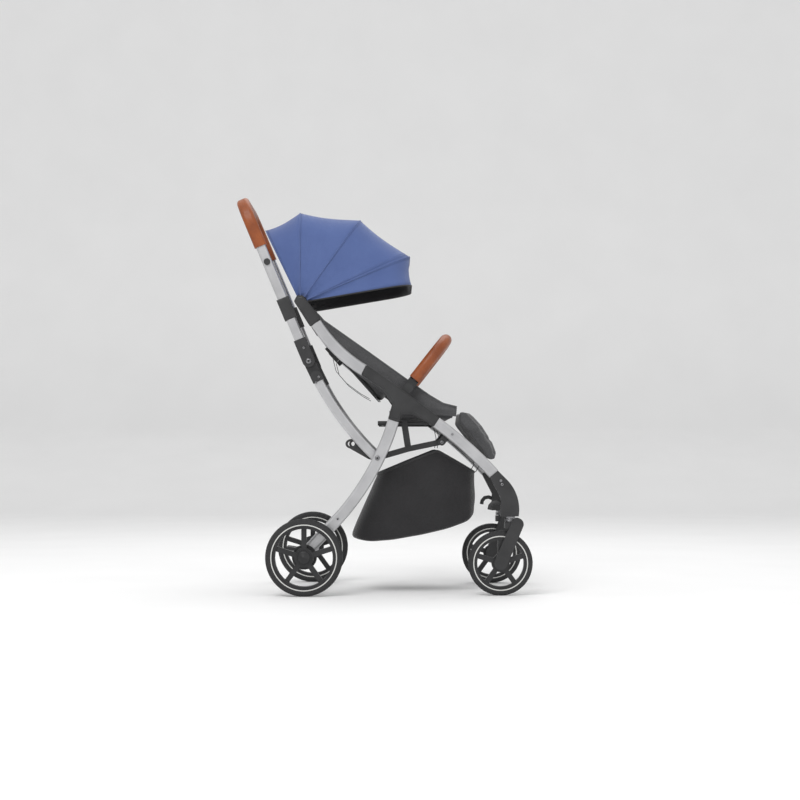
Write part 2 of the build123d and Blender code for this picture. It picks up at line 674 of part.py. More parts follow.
with BuildPart() as seat_pad:
    add(side_plate(PAD_OUTLINE, -SEAT_HALF, SEAT_HALF, 8.0))
save(seat_pad, "seat_pad")

with BuildPart() as leg_rest_pad:
    add(side_plate(LEG_REST_OUTLINE, -BACK_HALF, BACK_HALF, 6.0))
save(leg_rest_pad, "leg_rest_pad")

with BuildPart() as side_wing:
    add(side_plate(WING_OUTLINE, SEAT_HALF + 0.8, SEAT_HALF + 5.8, 5.0))
save_both(side_wing, "side_wings")

# The backrest is drawn lying on its own plane: length up the back, thickness towards the child.
back_dir = Vector(math.cos(math.radians(BACK_ANGLE)), 0, math.sin(math.radians(BACK_ANGLE)))
BACK_PLANE = Plane(
    origin=(BACK_FOOT[0], 0, BACK_FOOT[1]), x_dir=(0, 1, 0), z_dir=Vector(0, 1, 0).cross(back_dir)
)
BOARD_THICK = 3.0
with BuildPart() as backrest_pad:
    with BuildSketch(BACK_PLANE):
        with Locations((0, 12.0 + BACK_LENGTH / 2)):
            RectangleRounded(2 * BACK_HALF, BACK_LENGTH, 40.0)
    extrude(amount=BACK_THICK)
save(backrest_pad, "backrest_pad")

with BuildPart() as backrest_board:
    with BuildSketch(BACK_PLANE.offset(-BOARD_THICK - 0.4)):
        with Locations((0, 12.0 + BACK_LENGTH / 2)):
            RectangleRounded(2 * BACK_HALF - 16, BACK_LENGTH - 16, 34.0)
    extrude(amount=BOARD_THICK)
save(backrest_board, "backrest_board")

STRAP_WIDTH = 25.0
STRAP_THICK = 1.8
with BuildPart() as recline_strap:
    with BuildSketch(BACK_PLANE.offset(-BOARD_THICK - STRAP_THICK - 0.8)):
        with Locations((-118.0, 118.0), (118.0, 118.0)):
            Rectangle(STRAP_WIDTH, 190.0)
    extrude(amount=STRAP_THICK)
save(recline_strap, "recline_strap")

with BuildPart() as recline_buckle:
    with BuildSketch(BACK_PLANE.offset(-BOARD_THICK - STRAP_THICK - 14.7)):
        with Locations((-118.0, 192.0), (118.0, 192.0)):
            RectangleRounded(36.0, 46.0, 5.0)
    extrude(amount=13.5)
save(recline_buckle, "recline_buckle")

with BuildPart() as harness_straps:
    with BuildSketch(BACK_PLANE.offset(BACK_THICK + 0.4)):
        with Locations((-62.0, 160.0), (62.0, 160.0)):
            Rectangle(STRAP_WIDTH, 220.0)
    extrude(amount=STRAP_THICK)
save(harness_straps, "harness_straps")

BUCKLE_AT = (108.0, 487.0)
with BuildPart() as harness_buckle:
    with BuildSketch(Plane.XY.offset(BUCKLE_AT[1])):
        with Locations((BUCKLE_AT[0], 0)):
            RectangleRounded(52.0, 46.0, 12.0)
    extrude(amount=14)
    fillet(harness_buckle.faces().sort_by(Axis.Z)[-1].edges(), 4.0)
save(harness_buckle, "harness_buckle")

# ================================================================ basket
BASKET_HALF = 156.0
BASKET_WALL = 4.0
BASKET_OUTLINE = [
    (-16.0, 316.7), (136.0, 380.0), (238.0, 318.0), (236.0, 212.0), (222.0, 186.0), (167.0, 168.3), (20.0, 138.0),
    (-42.0, 133.0), (-91.0, 142.5),
]
with BuildPart() as basket:
    add(side_plate(BASKET_OUTLINE, -BASKET_HALF, BASKET_HALF))
    with BuildSketch(Plane.XZ.offset(-BASKET_HALF + BASKET_WALL)):
        with BuildLine():
            Polyline(*BASKET_OUTLINE, close=True)
        make_face()
        offset(amount=-BASKET_WALL, kind=Kind.INTERSECTION)
        with BuildLine():
            Polyline((-20.0, 308.0), (-20.0, 420.0), (234.0, 420.0), (234.0, 300.0), close=True)
        make_face()
    extrude(amount=2 * (BASKET_HALF - BASKET_WALL), mode=Mode.SUBTRACT)
save(basket, "basket")

# ================================================================ fasteners
SCREW_R, SCREW_HEAD = 3.4, 1.4
FRAME_SCREWS = [(-35.0, 570.0), (120.5, 455.0), (174.2, 413.9), (299.0, 295.0), (-184.5, 722.0)]
FRAME_SCREW_FACES = [FRAME_OUT + HUB_CHEEK, FRAME_OUT + HUB_CHEEK, FRAME_OUT, FRONT_WHEEL_Y + 12, FRAME_OUT + 1]
with BuildPart() as frame_screw:
    for centre, face in zip(FRAME_SCREWS, FRAME_SCREW_FACES):
        add(side_disc(centre, SCREW_R, face, face + SCREW_HEAD))
    add(side_disc(LEG_PIVOT, PIVOT_PIN_R, FRAME_IN - HUB_CHEEK, FRAME_OUT + HUB_CHEEK))
    add(side_disc(LEG_PIVOT, PIVOT_PIN_R + 2.5, FRAME_OUT + HUB_CHEEK, FRAME_OUT + HUB_CHEEK + SCREW_HEAD))
save_both(frame_screw, "frame_screws")

with BuildPart() as arm_pin:
    add(side_disc(ARM_FOOT, PIVOT_PIN_R, LAYER_BRACE_REAR[0] - 0.5, FRAME_OUT))
    add(side_disc(ARM_FOOT, PIVOT_PIN_R + 2.0, FRAME_OUT, FRAME_OUT + SCREW_HEAD))
save_both(arm_pin, "arm_pivot_pins")
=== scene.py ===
# %% [markdown]
# # A folding baby stroller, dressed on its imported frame
#
# The tubes, wheels and hinges come from the CAD model and already stand where they belong. This file adds
# what CAD leaves plain: finishes, cloth, stitches, screws, springs and small trims. Everything is in metres,
# with +X forward, +Y to the stroller's left and +Z up.

# %% Load the frame
import json
import math

import bmesh
import bpy
import numpy as np
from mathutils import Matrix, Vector, noise


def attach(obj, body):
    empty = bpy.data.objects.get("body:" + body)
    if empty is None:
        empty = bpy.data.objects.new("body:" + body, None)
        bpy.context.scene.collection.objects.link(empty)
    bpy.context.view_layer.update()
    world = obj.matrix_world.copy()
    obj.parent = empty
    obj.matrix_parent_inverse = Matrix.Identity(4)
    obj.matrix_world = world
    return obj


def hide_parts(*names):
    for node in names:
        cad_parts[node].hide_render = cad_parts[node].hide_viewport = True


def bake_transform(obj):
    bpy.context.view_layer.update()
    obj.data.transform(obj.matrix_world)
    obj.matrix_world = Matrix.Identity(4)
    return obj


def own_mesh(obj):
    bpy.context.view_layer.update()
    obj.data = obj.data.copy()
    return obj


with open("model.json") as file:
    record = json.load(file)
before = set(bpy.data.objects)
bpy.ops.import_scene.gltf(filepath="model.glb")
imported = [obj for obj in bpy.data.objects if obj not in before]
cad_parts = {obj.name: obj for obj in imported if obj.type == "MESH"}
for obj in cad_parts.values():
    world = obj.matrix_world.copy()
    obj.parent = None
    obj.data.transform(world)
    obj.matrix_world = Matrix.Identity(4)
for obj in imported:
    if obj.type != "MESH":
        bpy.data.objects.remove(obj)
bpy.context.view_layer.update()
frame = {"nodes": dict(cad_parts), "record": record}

# %% [markdown]
# ## Places
#
# The side view is drawn in millimetres from the floor, as a maker would mark it out, and one function turns
# a point into metres. The whole stroller was moved forward by a few millimetres so that it stands centred,
# and the same shift is added here.

# %% A point in the side view
SHIFT = 3.95


def at(x, y, z):
    return Vector(((x + SHIFT) / 1000, y / 1000, z / 1000))


SEAT_TOP = (-219.0, 757.0)
SIDES = {"right": -1, "left": 1}


# %% [markdown]
# ## Shader maths as expressions
#
# A finish is a small tree of nodes. Written one node at a time, the sums are hard to follow, so a socket is
# wrapped in a class that understands + - * and /. Every other node comes from one method, which sets the
# node's options first and then its sockets.

# %% Sockets that do arithmetic
class Signal:
    """A value that varies over a surface."""

    def __init__(self, finish, socket):
        self.finish = finish
        self.socket = socket

    def maths(self, operation, first, second):
        return self.finish.node("ShaderNodeMath", {"operation": operation}, {0: first, 1: second})

    def __add__(self, other):
        return self.maths("ADD", self, other)

    def __radd__(self, other):
        return self.maths("ADD", other, self)

    def __sub__(self, other):
        return self.maths("SUBTRACT", self, other)

    def __rsub__(self, other):
        return self.maths("SUBTRACT", other, self)

    def __mul__(self, other):
        return self.maths("MULTIPLY", self, other)

    def __rmul__(self, other):
        return self.maths("MULTIPLY", other, self)

    def __lt__(self, other):
        return self.maths("LESS_THAN", self, other)


class Finish:
    """One material, built from signals."""

    def __init__(self, name, roughness=0.5, metallic=0.0, specular=0.5, sheen=0.0):
        self.material = bpy.data.materials.new(name)
        self.material.use_nodes = True
        self.tree = self.material.node_tree
        self.surface = self.tree.nodes["Principled BSDF"]
        self.set("Roughness", roughness)
        self.set("Metallic", metallic)
        self.set("Specular IOR Level", specular)
        self.set("Sheen Weight", sheen)

    def node(self, kind, settings=None, inputs=None, output=0):
        made = self.tree.nodes.new(kind)
        for name, value in (settings or {}).items():
            if name == "stops":
                while len(made.color_ramp.elements) < len(value):
                    made.color_ramp.elements.new(0.5)
                for element, (position, colour) in zip(made.color_ramp.elements, value):
                    element.position = position
                    element.color = (*colour, 1)
            else:
                setattr(made, name, value)
        for name, value in (inputs or {}).items():
            self.feed(made.inputs[name], value)
        return Signal(self, made.outputs[output])

    def feed(self, socket, value):
        if isinstance(value, Signal):
            self.tree.links.new(value.socket, socket)
        else:
            socket.default_value = value

    def set(self, name, value):
        self.feed(self.surface.inputs[name], value)

    def place(self, scale=(1, 1, 1), turn=(0, 0, 0)):
        """Object coordinates in metres, scaled to the size of the pattern."""
        spot = self.node("ShaderNodeTexCoord", output="Object")
        return self.node("ShaderNodeMapping", {}, {"Vector": spot, "Scale": scale, "Rotation": turn})

    def speckle(self, scale, detail=2.0, roughness=0.5, stretch=(1, 1, 1), turn=(0, 0, 0)):
        """Noise with features about 1/scale metres wide."""
        return self.node(
            "ShaderNodeTexNoise",
            {},
            {"Vector": self.place(stretch, turn), "Scale": scale, "Detail": detail, "Roughness": roughness},
        )

    def ramp(self, signal, stops):
        return self.node("ShaderNodeValToRGB", {"stops": stops}, {"Fac": signal})

    def blend(self, signal, first, second):
        return self.node(
            "ShaderNodeMix", {"data_type": "RGBA"}, {0: signal, 6: first, 7: second}, output=2
        )

    def bump(self, height, depth, strength=0.6):
        self.set("Normal", self.node(
            "ShaderNodeBump", {}, {"Strength": strength, "Distance": depth, "Height": height}
        ))


# %% [markdown]
# ## Hard finishes
#
# Anodised aluminium is satin, with faint drawing lines along the tube and small clouds in its sheen.
# Moulded plastic has a spark-eroded grain, finer than a millimetre, and catches light on its rounded edges.
# Powder coat is the same idea with an orange-peel surface. Each keeps one colour and lets the grain vary it.

# %% Metal and plastic
def aluminium(name):
    finish = Finish(name, metallic=0.85, specular=0.5)
    cloud = finish.speckle(18, 3)
    lines = finish.speckle(60, 2, stretch=(1, 18, 18), turn=(0, math.radians(45), 0))
    finish.set("Base Color", finish.ramp(cloud, [(0.3, (0.46, 0.46, 0.47)), (0.7, (0.55, 0.55, 0.56))]))
    finish.set("Roughness", 0.34 + lines * 0.16)
    finish.bump(lines, 0.0002, 0.25)
    return finish.material


def moulded(name, colour, roughness=0.45, grain=900, depth=0.0003):
    finish = Finish(name, specular=0.5)
    fine = finish.speckle(grain, 1)
    broad = finish.speckle(22, 3)
    pale = tuple(c * 1.5 + 0.006 for c in colour)
    finish.set("Base Color", finish.ramp(broad, [(0.3, colour), (0.75, pale)]))
    finish.set("Roughness", roughness - 0.06 + broad * 0.12)
    finish.bump(fine, depth, 0.35)
    return finish.material


def plated(name, colour):
    finish = Finish(name, metallic=1.0)
    scratch = finish.speckle(500, 2)
    finish.set("Base Color", finish.ramp(scratch, [(0.2, tuple(c * 0.8 for c in colour)), (0.8, colour)]))
    finish.set("Roughness", 0.25 + scratch * 0.2)
    return finish.material


# %% [markdown]
# ## Leatherette
#
# The grip and the bumper cover are tan leatherette. Its grain is a net of pebbles about a millimetre across:
# a Voronoi pattern gives each pebble a crown and a crease. Painted shade darkens the colour in the creases,
# and the colour wanders slowly from place to place, as a wiped-on dye does.

# %% Tan leatherette
def leatherette(name):
    finish = Finish(name, specular=0.45)
    pebbles = finish.node(
        "ShaderNodeTexVoronoi", {"feature": "SMOOTH_F1"}, {"Vector": finish.place(), "Scale": 620, "Smoothness": 0.5}
    )
    wander = finish.speckle(24, 4)
    dye = finish.ramp(wander, [(0.25, (0.21, 0.044, 0.005)), (0.55, (0.31, 0.070, 0.008)), (0.8, (0.40, 0.105, 0.016))])
    # Painted shade: the colour is pulled towards dark brown in the creases between pebbles; the wandering tone under it
    # is the dye.
    finish.set("Base Color", finish.blend(pebbles * 0.45, dye, (0.13, 0.028, 0.004, 1)))
    finish.set("Roughness", 0.36 + pebbles * 0.2)
    finish.set("Coat Weight", 0.12)
    finish.bump(1 - pebbles, 0.0006, 0.6)
    return finish.material


# %% [markdown]
# ## Cloth
#
# All the cloth is a plain weave. Two waves crossing at a right angle make the threads, and a speckle mixes
# two yarn colours for the melange grey. Larger, softer noise bends the surface a little, as cloth never
# hangs perfectly flat.

# %% Woven cloth
def woven(name, dark, light, thread=0.0011, crease=0.35, sheen=0.25, flecks=700):
    finish = Finish(name, roughness=0.85, specular=0.25, sheen=sheen)
    turns = 2 * math.pi / thread
    spot = finish.place()
    parts = [finish.node("ShaderNodeSeparateXYZ", {}, {0: spot}, output=i) for i in range(3)]
    waves = [finish.node("ShaderNodeMath", {"operation": "SINE"}, {0: part * turns}) for part in parts]
    weave = waves[0] * waves[1] + waves[1] * waves[2] + waves[0] * waves[2]
    fleck = finish.speckle(flecks, 2, 0.7)
    folds = finish.speckle(16, 3, 0.55)
    finish.set("Base Color", finish.ramp(fleck * 0.75 + folds * 0.25, [(0.32, dark), (0.68, light)]))
    finish.set("Roughness", 0.78 + fleck * 0.15)
    finish.bump(weave * 0.12 + fleck * 0.5 + folds * 6 * crease, 0.0012, 0.55)
    return finish.material


def webbing(name, colour):
    finish = Finish(name, roughness=0.7, specular=0.3, sheen=0.15)
    ribs = finish.node(
        "ShaderNodeTexWave", {"bands_direction": "Y"}, {"Vector": finish.place(), "Scale": 240, "Distortion": 0.4}
    )
    finish.set("Base Color", finish.blend(ribs, (*colour, 1), (*[c * 2.2 for c in colour], 1)))
    finish.bump(ribs, 0.0006, 0.6)
    return finish.material


# %% [markdown]
# ## Tyres
#
# The tyres are matt foam with a thin pale ring near the rim. The ring and the tread follow the wheel, so the
# pattern is worked out from the distance to the axle: a narrow band of that distance is painted pale, and
# ripples of the angle about the axle make the shallow tread blocks.

# %% A tyre finish about its own axle
def tyre_finish(name, axle, ring, tread_radius, blocks):
    finish = Finish(name, specular=0.35)
    spot = finish.node("ShaderNodeTexCoord", output="Object")
    x = finish.node("ShaderNodeSeparateXYZ", {}, {0: spot}, output=0) - axle.x
    z = finish.node("ShaderNodeSeparateXYZ", {}, {0: spot}, output=2) - axle.z
    reach = finish.node("ShaderNodeMath", {"operation": "SQRT"}, {0: x * x + z * z})
    off = finish.node("ShaderNodeMath", {"operation": "ABSOLUTE"}, {0: reach - ring})
    band = off < 0.0013
    angle = finish.node("ShaderNodeMath", {"operation": "ARCTAN2"}, {0: z, 1: x})
    ripple = finish.node("ShaderNodeMath", {"operation": "SINE"}, {0: angle * blocks})
    tread = (1 - (reach < tread_radius)) * ripple
    foam = finish.speckle(700, 2)
    rubber = finish.ramp(foam, [(0.3, (0.020, 0.020, 0.021)), (0.8, (0.040, 0.040, 0.041))])
    finish.set("Base Color", finish.blend(band, rubber, (0.62, 0.62, 0.60, 1)))
    finish.set("Roughness", 0.62 + foam * 0.15)
    finish.bump(foam * 0.25 + tread, 0.0009, 0.6)
    return finish.material


# %% Make the finishes and dress the CAD nodes
INK = (0.016, 0.016, 0.017)
finishes = {
    "aluminium": aluminium("aluminium"),
    "moulded_plastic": moulded("moulded_plastic", (0.017, 0.017, 0.018)),
    "black_metal": moulded("black_metal", (0.012, 0.012, 0.013), 0.4, 500, 0.0002),
    "steel": plated("steel", (0.30, 0.30, 0.31)),
    "leatherette": leatherette("leatherette"),
    "bumper_plastic": moulded("bumper_plastic", (0.014, 0.014, 0.015), 0.35),
    "rim_plastic": moulded("rim_plastic", (0.010, 0.010, 0.011), 0.4),
    "seat_fabric": woven("seat_fabric", (0.045, 0.045, 0.047), (0.115, 0.115, 0.119)),
    "canopy_fabric": woven("canopy_fabric", (0.070, 0.108, 0.270), (0.104, 0.155, 0.350), crease=0.55, flecks=1100),
    "basket_fabric": woven("basket_fabric", (0.014, 0.0135, 0.0145), (0.034, 0.033, 0.035), crease=0.5),
    "webbing": webbing("webbing", INK),
    "rear_tyre": tyre_finish("rear_tyre", at(-205.5, 0, 99), 0.0836, 0.0925, 46),
    "front_tyre": tyre_finish("front_tyre", at(298, 0, 83), 0.0690, 0.0770, 40),
}
# Painted shade: a near-black cloth for the inside of the hood, standing in for the shade under the canopy.
hood_shade_finish = woven("canopy_hood_shade", (0.010, 0.010, 0.011), (0.022, 0.022, 0.024), crease=0.3)
tan_thread = moulded("tan_thread", (0.20, 0.045, 0.008), 0.7, 2000, 0.0001)
# Painted shade: a near-black finish for the discs that stand in for the dark inside of each screw socket.
socket_painted_shade = moulded("socket_painted_shade", (0.006, 0.006, 0.006), 0.6)

for entry in frame["record"]["subparts"]:
    node, slot = entry["node"], entry["material_slot"]
    finish = slot if slot != "tyre" else node.rsplit("_", 1)[0]
    mesh = frame["nodes"][node].data
    mesh.materials.clear()
    mesh.materials.append(finishes[finish])
print("finishes", len(finishes))


# %% [markdown]
# ## Helpers for pieces
#
# A piece is a plain mesh at the origin that rides on one body of the frame. One helper makes the mesh and
# another freezes live modifiers into it, so that the piece's own mesh is exactly what is seen.

# %% Make, freeze and ride
def piece(name, points, faces, material, smooth=True):
    mesh = bpy.data.meshes.new(name)
    mesh.from_pydata([tuple(p) for p in points], [], faces)
    made = bpy.data.objects.new(name, mesh)
    bpy.context.collection.objects.link(made)
    if material is not None:
        mesh.materials.append(material)
    for face in mesh.polygons:
        face.use_smooth = smooth
    return made


def freeze(made):
    """Turn the evaluated shape into the piece's own plain mesh."""
    view = bpy.context.evaluated_depsgraph_get()
    mesh = bpy.data.meshes.new_from_object(made.evaluated_get(view))
    made.modifiers.clear()
    made.data = mesh
    return made


def tidy_mesh(made):
    """Merge doubles and point every face outwards."""
    work = bmesh.new()
    work.from_mesh(made.data)
    bmesh.ops.remove_doubles(work, verts=work.verts, dist=1e-5)
    bmesh.ops.recalc_face_normals(work, faces=work.faces)
    work.to_mesh(made.data)
    work.free()
    return made


def finish_piece(made, body):
    for face in made.data.polygons:
        face.use_smooth = True
    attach(made, body)
    return made


def grid_faces(rows, columns, closed=False):
    """Quads over a grid of points stored row by row."""
    last = columns if closed else columns - 1
    return [
        (r * columns + c, r * columns + (c + 1) % columns, (r + 1) * columns + (c + 1) % columns, (r + 1) * columns + c)
        for r in range(rows - 1)
        for c in range(last)
    ]


def along(points, share):
    """Point at a share of the length of a line of points."""
    lengths = [0.0]
    for a, b in zip(points, points[1:]):
        lengths.append(lengths[-1] + math.dist(a, b))
    goal = share * lengths[-1]
    for i, (a, b) in enumerate(zip(points, points[1:])):
        if goal <= lengths[i + 1] or i == len(points) - 2:
            part = (goal - lengths[i]) / (lengths[i + 1] - lengths[i])
            return tuple(p + (q - p) * part for p, q in zip(a, b))


# %% [markdown]
# ## Rows that repeat: stitches, screws and cords of piping
#
# Stitches and screws are all alike, so Geometry Nodes place them. One tree lays a small thread along a line
# at an even spacing; another sets a round screw head on each point of a mesh, and, run again smaller and
# near-black, lays a disc of painted shade for the socket on each head; a third draws a round tube along a line
# for piping and hems. Sizes are named inputs of each tree.

# %% Node-tree builder
def node_tree(name, sizes):
    """An empty geometry tree with a geometry input, named sizes and a material."""
    tree = bpy.data.node_groups.new(name, "GeometryNodeTree")
    tree.interface.new_socket("Geometry", in_out="INPUT", socket_type="NodeSocketGeometry")
    for size, value in sizes.items():
        socket = tree.interface.new_socket(size, in_out="INPUT", socket_type="NodeSocketFloat")
        socket.default_value = value
    tree.interface.new_socket("Finish", in_out="INPUT", socket_type="NodeSocketMaterial")
    tree.interface.new_socket("Geometry", in_out="OUTPUT", socket_type="NodeSocketGeometry")
    start = tree.nodes.new("NodeGroupInput")
    end = tree.nodes.new("NodeGroupOutput")

    def add(kind, settings=None, **links):
        made = tree.nodes.new(kind)
        for key, value in (settings or {}).items():
            setattr(made, key, value)
        for key, value in links.items():
            socket = made.inputs[key.replace("_", " ")]
            if hasattr(value, "is_output"):
                tree.links.new(value, socket)
            else:
                socket.default_value = value
        return made

    def close(geometry):
        solid = add("GeometryNodeRealizeInstances", Geometry=geometry)
        coloured = add("GeometryNodeSetMaterial", Geometry=solid.outputs[0], Material=start.outputs["Finish"])
        tree.links.new(coloured.outputs[0], end.inputs[0])

    return tree, start.outputs, add, close


def run_tree(tree, name, points, edges, body, slot, material, **sizes):
    """Run a tree on a mesh of points and keep the result as one plain piece."""
    mesh = bpy.data.meshes.new(name)
    mesh.from_pydata([tuple(p) for p in points], edges, [])
    made = bpy.data.objects.new(name, mesh)
    bpy.context.collection.objects.link(made)
    modifier = made.modifiers.new("rule", "NODES")
    modifier.node_group = tree
    inputs = {item.name: item.identifier for item in tree.interface.items_tree if item.in_out == "INPUT"}
    for size, value in sizes.items():
        modifier[inputs[size.replace("_", " ")]] = value
    modifier[inputs["Finish"]] = material
    freeze(made)
    finish_piece(made, body)
    return made


# %% The three trees
stitch_tree, given, add, close = node_tree("stitches", {"Spacing": 0.004, "Length": 0.0026, "Thickness": 0.0007})
line = add("GeometryNodeMeshToCurve", Mesh=given["Geometry"])
marks = add("GeometryNodeResampleCurve", {"mode": "LENGTH"}, Curve=line.outputs[0], Length=given["Spacing"])
thread = add("GeometryNodeMeshUVSphere", Segments=6, Rings=4, Radius=0.5)
tangent = add("GeometryNodeInputTangent")
turn = add("FunctionNodeAlignRotationToVector", {"axis": "Z"}, Vector=tangent.outputs[0])
size = add("ShaderNodeCombineXYZ", X=given["Thickness"], Y=given["Thickness"], Z=given["Length"])
placed = add(
    "GeometryNodeInstanceOnPoints",
    Points=marks.outputs[0], Instance=thread.outputs[0], Rotation=turn.outputs[0], Scale=size.outputs[0],
)
close(placed.outputs[0])

cord_tree, given, add, close = node_tree("piping", {"Radius": 0.002})
line = add("GeometryNodeMeshToCurve", Mesh=given["Geometry"])
round_section = add("GeometryNodeCurvePrimitiveCircle", Resolution=10, Radius=given["Radius"])
tube = add("GeometryNodeCurveToMesh", Curve=line.outputs[0], Profile_Curve=round_section.outputs[0], Fill_Caps=True)
close(tube.outputs[0])

screw_tree, given, add, close = node_tree("screws", {"Radius": 0.004, "Height": 0.0016})
head = add("GeometryNodeMeshCylinder", Vertices=20, Radius=given["Radius"], Depth=given["Height"])
upright = add("FunctionNodeInputVector")
upright.vector = (math.pi / 2, 0, 0)
heads = add(
    "GeometryNodeInstanceOnPoints",
    Points=given["Geometry"], Instance=head.outputs[0], Rotation=upright.outputs[0],
)
close(heads.outputs[0])

# %% Screws on the hinges and housings
SCREWS = {
    "main_frame": [
        (28.7, 217, 472.5, 6.5), (-219, 215, 757, 6.0), (-36, 217, 568, 3.2), (-20, 217, 556, 3.2),
        (119, 217, 452, 3.2), (-200, 215, 722, 3.4), (302, 218, 285, 4.0), (148, 200, 394, 4.5), (59, 188, 533, 5.0),
    ],
    "rear_frame": [(-18.3, 214, 353, 6.5), (-120, 214, 197, 3.0)],
    "push_frame": [(-170, 195.5, 562, 3.6), (-177, 195.5, 548, 3.0)],
    "handle": [(-209, 195.5, 638, 3.6), (-196.6, 195.5, 603.8, 7.5)],
}
for body, places in SCREWS.items():
    for radius in sorted({place[3] for place in places}):
        heads = [at(x, sign * y, z) for x, y, z, r in places if r == radius for sign in SIDES.values()]
        run_tree(
            screw_tree, f"screw_heads_{body}_{int(radius * 10)}", heads, [], body, "steel", finishes["steel"],
            Radius=radius / 1000, Height=0.0018,
        )
        # Painted shade for the sockets: a smaller, taller near-black disc laid over each head, not a cut recess.
        run_tree(
            screw_tree, f"screw_sockets_{body}_{int(radius * 10)}", heads, [], body, "steel", socket_painted_shade,
            Radius=radius * 0.42 / 1000, Height=0.0021,
        )
print("screws set")

# %% [markdown]
# ## Canopy
#
# A canopy is one sheet of cloth pulled over three sprung bows that fan out from the top of the seat tubes.
# Each section is an arch: up one side, round a corner, across the top and down again. Between two bows the
# cloth is taut and falls slightly inside the straight chord. One loft through all the sections gives one
# continuous skin.

# %% The canopy's sections
BOWS = [(116.3, 220.0, -2.0), (91.0, 237.0, 4.5), (55.0, 261.0, 9.0), (23.7, 302.0, 9.0), (9.4, 285.0, 9.0)]
CORNER, FOOT, HALF = 62.0, 18.0, 164.0


def arch_size(angle, slack=5.0):
    """Distance from the hinge line to the cloth, and how far the sides stand out, at one angle."""
    for (a, ra, ga), (b, rb, gb) in zip(BOWS, BOWS[1:]):
        if angle >= b - 1e-6:
            gap, part = math.radians(a - b), math.radians(angle - b)
            chord = rb * ra * math.sin(gap) / (rb * math.sin(part) + ra * math.sin(gap - part))
            share = (a - angle) / (a - b)
            dip = slack * math.sin(math.pi * share)
            return chord + ga + (gb - ga) * share - dip, HALF + ga + (gb - ga) * share - 0.8 * dip
    return BOWS[-1][1], HALF


def arch(angle, inset=0.0, count=56, slack=5.0):
    """Points of one section from the right foot over the top to the left foot."""
    top, half = arch_size(angle, slack)
    top, half, corner = top - inset, half - inset, CORNER - inset
    side = [(-half, FOOT + (top - corner - FOOT) * t / 14) for t in range(14)]
    bend = [
        (-half + corner - corner * math.cos(a), top - corner + corner * math.sin(a))
        for a in [math.pi / 2 * t / 10 for t in range(11)]
    ]
    across = [(-half + corner + (half - corner) * t / 8, top) for t in range(1, 9)]
    outline = side + bend + across
    outline += [(-y, r) for y, r in reversed(outline[:-1])]
    angle = math.radians(angle)
    return [at(SEAT_TOP[0] + r * math.cos(angle), y, SEAT_TOP[1] + r * math.sin(angle)) for y, r in outline]


def canopy_sheet(name, inset, material):
    angles = []
    for (a, *_), (b, *_) in zip(BOWS, BOWS[1:]):
        steps = max(3, round((a - b) / 2.6))
        angles += [a + (b - a) * i / steps for i in range(steps)]
    angles.append(BOWS[-1][0])
    rows = [arch(angle, inset) for angle in angles]
    made = piece(name, [p for row in rows for p in row], grid_faces(len(rows), len(rows[0])), material)
    wall = made.modifiers.new("cloth", "SOLIDIFY")
    wall.thickness = 0.0012
    wall.offset = 0
    area = sum(face.area for face in made.data.polygons)
    freeze(made)
    tidy_mesh(made)
    for face in made.data.polygons:
        face.use_smooth = True
    return made, area, len(rows)


canopy, canopy_area, canopy_rows = canopy_sheet("canopy_cloth", 1.0, finishes["canopy_fabric"])
# A second sheet just inside the canopy carries the near-black painted shade of the hood's inside.
hood_shade_sheet, hood_shade_area, _ = canopy_sheet("canopy_hood_shade_cloth", 3.4, hood_shade_finish)
hinge_a = at(SEAT_TOP[0] + 237 * math.cos(math.radians(91)), 0, SEAT_TOP[1] + 237 * math.sin(math.radians(91)))
hinge_b = at(SEAT_TOP[0] + 302 * math.cos(math.radians(23.7)), 0, SEAT_TOP[1] + 302 * math.sin(math.radians(23.7)))
for sheet, area in ((canopy, canopy_area), (hood_shade_sheet, hood_shade_area)):
    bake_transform(sheet)
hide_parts("canopy_rear_panel", "canopy_mid_panel", "canopy_front_panel")
print(f"canopy {canopy_area:.2f} m2 in {canopy_rows} sections")

# %% [markdown]
# ### Seams, hems and stitches of the canopy
#
# Where two panels meet over a bow, the cloth is folded and sewn into a raised seam. A thin cord of the same
# cloth along each arch gives that ridge, the front edge has a black binding, and a row of stitches runs
# beside each seam.

# %% Canopy seams
def chain(points):
    return [(i, i + 1) for i in range(len(points) - 1)]


SEAMS = [
    ("rear_hem", 116.0, "main_frame", 1.6, "canopy_fabric"),
    ("rear_seam", 91.0, "main_frame", 1.5, "canopy_fabric"),
    ("middle_seam", 55.0, "canopy_mid", 1.5, "canopy_fabric"),
    ("front_seam", 23.7, "canopy_front", 1.6, "canopy_fabric"),
    ("front_seam_second", 26.2, "canopy_front", 1.0, "canopy_fabric"),
    ("visor_binding", 9.6, "canopy_front", 1.8, "webbing"),
]
for name, angle, body, radius, slot in SEAMS:
    line = arch(angle, inset=0.6)
    run_tree(cord_tree, f"canopy_{name}", line, chain(line), body, slot, finishes[slot], Radius=radius / 1000)
    if slot == "canopy_fabric":
        row = arch(angle - 1.2, inset=-0.1)
        run_tree(
            stitch_tree, f"canopy_{name}_stitches", row, chain(row), body, "webbing", finishes["webbing"],
            Spacing=0.0045, Length=0.003, Thickness=0.0007,
        )

# %% [markdown]
# ## Seat cushions
#
# The seat, the back and the leg rest are thin foam in a sewn cover. Each starts as its CAD solid, is cut
# into an even skin of small squares and blown up gently as cloth, so that the middle crowns and the sides
# pull in between the corners. Sewn channels are pressed in afterwards, because the even skin would lose them.

